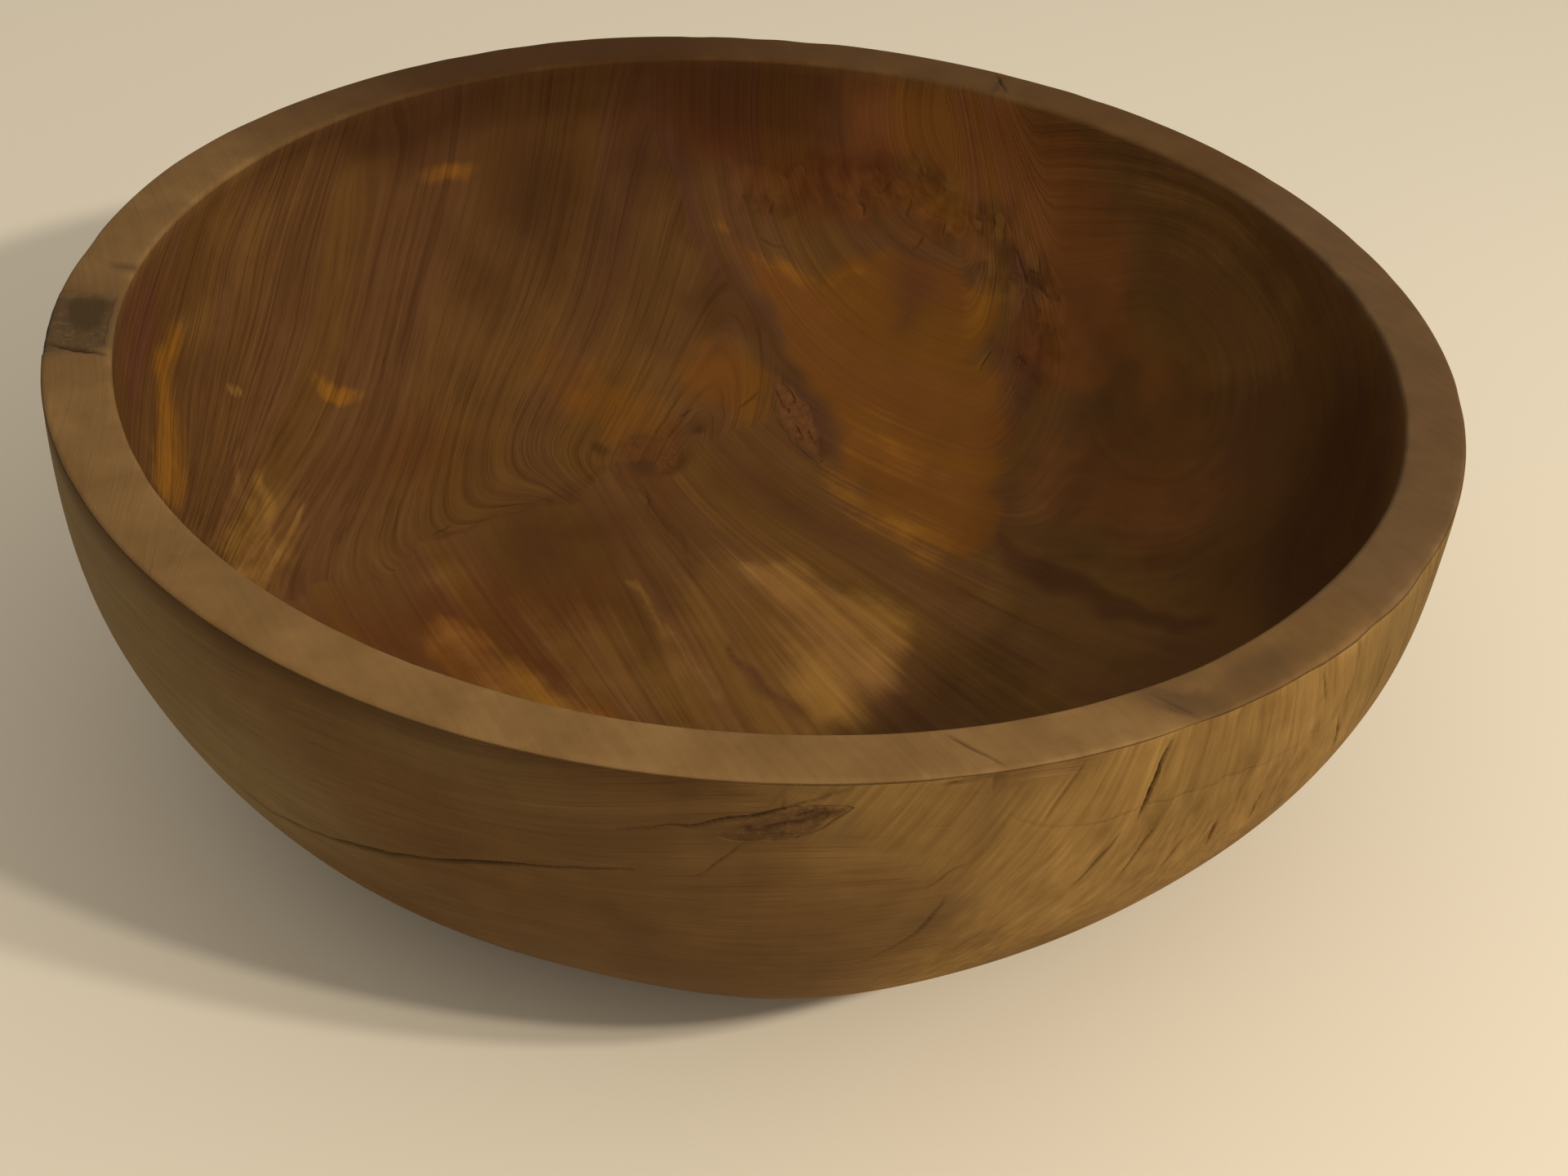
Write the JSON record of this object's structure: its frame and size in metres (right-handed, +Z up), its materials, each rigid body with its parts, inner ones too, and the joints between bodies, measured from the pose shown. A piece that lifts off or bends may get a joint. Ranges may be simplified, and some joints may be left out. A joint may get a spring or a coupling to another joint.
{
  "type": "dough bowl",
  "caption": "Round turned wooden dough bowl with a thick wall, a flat rim and a flat foot, cut from crotch wood with dead knots and ingrown bark set in it.",
  "frame": {"origin": "centre of the flat foot, on the surface that the bowl stands on", "axes": "+Z up along the turning axis; -Y towards the front of the bowl, as pictured; +X to its right"},
  "size_m": [0.38, 0.38, 0.125],
  "materials": {
    "crotch_wood": "dry, hand-worn turned wood",
    "grey_knot": "weathered grey dead knot",
    "dark_knot": "dark close-grained knot",
    "bark": "rough ingrown bark"
  },
  "bodies": {
    "root": {"turned_bowl": "crotch_wood", "rim_knot": "grey_knot", "heart_knot": "dark_knot", "inner_bark": "bark", "outer_bark": "bark"}
  },
  "joints": []
}
